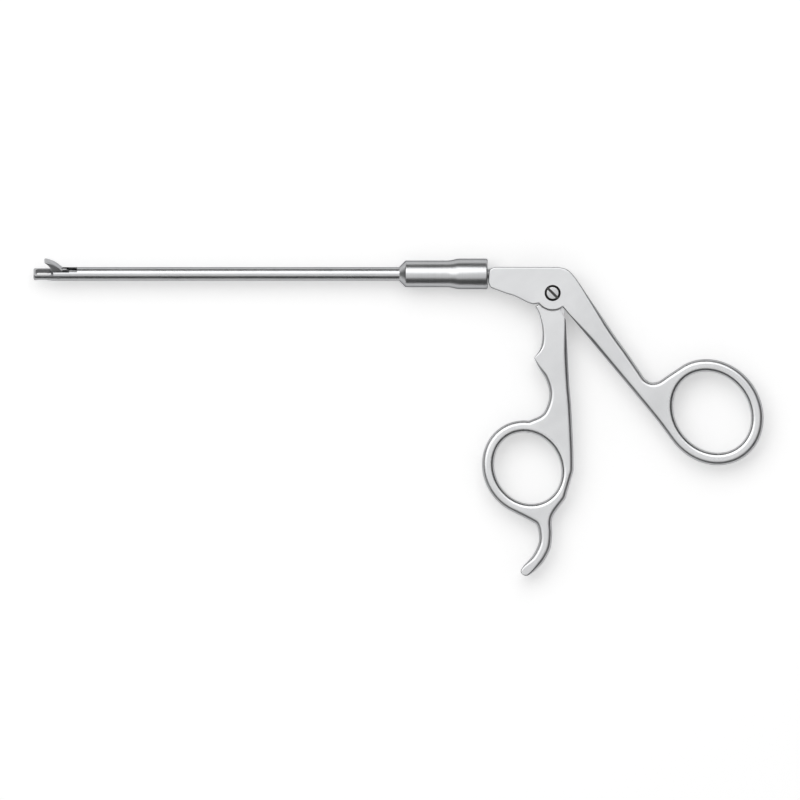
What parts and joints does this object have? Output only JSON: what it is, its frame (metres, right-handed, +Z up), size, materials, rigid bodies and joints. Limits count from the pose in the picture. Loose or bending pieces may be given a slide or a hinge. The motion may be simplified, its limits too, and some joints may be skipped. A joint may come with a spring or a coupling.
{
  "type": "arthroscopic punch",
  "caption": "Arthroscopic basket punch: ring handles on a slotted pivot screw drive a rod through a slim straight tube and close a hooked jaw into an open basket at the tip.",
  "frame": {"origin": "middle of the bounding box's underside, with the instrument lying on its side and its jaw open", "axes": "+X from the tip along the shaft to the handles, +Y away from the finger ring, towards the side the jaw opens, +Z up, along the handle pivot's axis"},
  "size_m": [0.2556, 0.1112, 0.0107],
  "materials": {
    "satin_steel": "satin",
    "bright_steel": "polished",
    "hardened_steel": "satin",
    "bearing_bronze": "satin"
  },
  "bodies": {
    "fixed_handle": {"thumb_handle": "satin_steel", "pivot_screw": "bright_steel", "hub_sleeve": "bright_steel", "stem_nipple": "bright_steel", "tube_ferrule": "bright_steel", "shaft_tube": "bright_steel", "basket_tip": "bright_steel", "jaw_hinge_pin": "hardened_steel", "rod_guide_front": "bearing_bronze", "rod_guide_middle": "bearing_bronze", "rod_guide_rear": "bearing_bronze"},
    "moving_lever": {"finger_lever": "satin_steel", "lever_drive_pin": "satin_steel"},
    "push_rod": {"drive_rod": "bright_steel", "rod_yoke": "bright_steel", "rod_lock_nut": "bright_steel", "rod_front_eye": "hardened_steel"},
    "moving_jaw": {"upper_jaw": "hardened_steel", "jaw_link_pin": "hardened_steel"}
  },
  "joints": [
    {"name": "handle_pivot", "type": "hinge", "parent": "fixed_handle", "child": "moving_lever", "pos_m": [0.05393, 0.04345, 0.00534], "axis": [0, 0, 1], "range_deg": [0, 9.77]},
    {"name": "rod_slide", "type": "slide", "parent": "fixed_handle", "child": "push_rod", "axis": [-1, 0, 0], "range_m": [0, 0.00114]},
    {"name": "jaw_hinge", "type": "hinge", "parent": "fixed_handle", "child": "moving_jaw", "pos_m": [-0.11897, 0.05015, 0.00534], "axis": [0, -0.6428, 0.766], "range_deg": [0, 50]}
  ],
  "couplings": [
    {"joint": "rod_slide", "follows": "handle_pivot", "m_per_rad": 0.0066919},
    {"joint": "jaw_hinge", "follows": "handle_pivot", "ratio": 5.1178}
  ]
}
